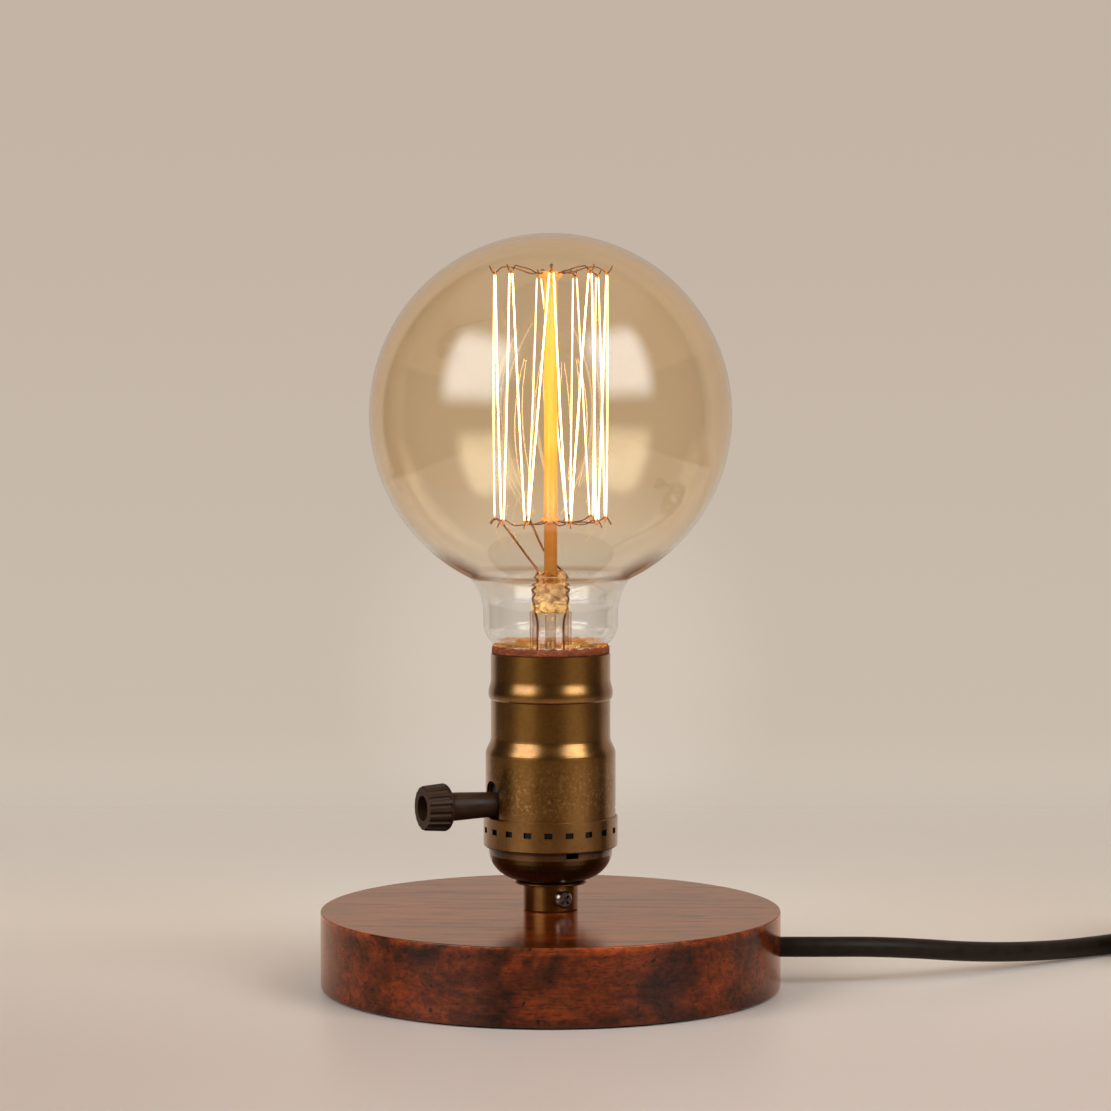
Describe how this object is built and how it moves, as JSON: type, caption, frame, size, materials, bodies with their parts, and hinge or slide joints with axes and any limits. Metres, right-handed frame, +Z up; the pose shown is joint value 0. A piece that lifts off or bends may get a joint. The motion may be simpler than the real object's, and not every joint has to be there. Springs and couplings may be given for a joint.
{
  "type": "bare bulb table lamp",
  "caption": "Low round wooden block with a brass lampholder and turn key, a large round amber filament bulb that unscrews, and a black cord with a plug.",
  "frame": {"origin": "centre of the underside of the felt pad, on the lamp's axis", "axes": "+Z up along the lamp's axis, +X to the side where the cord leaves, -Y to the front"},
  "size_m": [0.3101, 0.1528, 0.1977],
  "materials": {
    "stained_wood": "dark stain under satin lacquer",
    "felt": "felt",
    "plated_steel": "zinc plated",
    "white_plastic": "matte",
    "black_wire": "matte",
    "cord_jacket": "matte",
    "brass": "satin antique brass",
    "nickel": "bright nickel",
    "fibre": "raw vulcanised fibre",
    "black_plastic": "semi-gloss moulding",
    "brown_plastic": "semi-gloss moulding",
    "contact_brass": "bright rolled brass",
    "amber_glass": "clear, amber tinted",
    "clear_glass": "clear",
    "hook_wire": "dark oxidised wire",
    "filament_wire": "glowing",
    "cement": "matte",
    "strap": "hook and loop strap"
  },
  "bodies": {
    "lamp": {"wood_base": "stained_wood", "base_pad": "felt", "threaded_tube": "plated_steel", "flat_washer": "plated_steel", "lock_washer": "plated_steel", "hex_nut": "plated_steel", "cord_clamp": "white_plastic", "clamp_screws": "plated_steel", "cord_tail": "cord_jacket", "line_wire": "black_wire", "neutral_wire": "white_plastic", "cap_hub": "brass", "hub_screw": "nickel", "socket_cap": "brass", "socket_shell": "brass", "insulating_liner": "fibre", "socket_body": "black_plastic", "screw_shell": "contact_brass", "shell_rivets": "plated_steel", "centre_contact": "contact_brass", "contact_rivet": "plated_steel", "switch_leaf": "contact_brass", "line_leaf": "contact_brass", "line_terminal": "contact_brass", "neutral_terminal": "nickel", "line_screw": "contact_brass", "neutral_screw": "nickel", "cord_run": "cord_jacket", "cord_coil": "cord_jacket", "cord_tie": "strap", "cord_end": "cord_jacket", "plug_relief": "cord_jacket", "plug_body": "black_plastic", "plug_blades": "nickel"},
    "switch_key": {"turn_knob": "black_plastic", "key_shaft": "contact_brass", "switch_rotor": "brown_plastic", "rotor_bridge": "contact_brass"},
    "bulb_foot": {"foot_contact": "nickel"},
    "bulb": {"bulb_glass": "amber_glass", "stem_glass": "clear_glass", "support_rod": "clear_glass", "top_supports": "hook_wire", "bottom_supports": "hook_wire", "filament": "filament_wire", "lead_wires": "hook_wire", "bulb_cap": "contact_brass", "basing_cement": "cement", "cap_insulator": "black_plastic"}
  },
  "joints": [
    {"name": "key_turn", "type": "hinge", "parent": "lamp", "child": "switch_key", "pos_m": [0, 0, 0.0489], "axis": [-0.9063, -0.4226, 0], "continuous": true},
    {"name": "bulb_rise", "type": "slide", "parent": "lamp", "child": "bulb_foot", "axis": [0, 0, 1], "range_m": [0, 0.0254]},
    {"name": "bulb_turn", "type": "hinge", "parent": "bulb_foot", "child": "bulb", "pos_m": [0, 0, 0.06], "axis": [0, 0, 1], "range_deg": [0, 2520]}
  ],
  "couplings": [
    {"joint": "bulb_rise", "follows": "bulb_turn", "m_per_rad": 0.00057757}
  ]
}
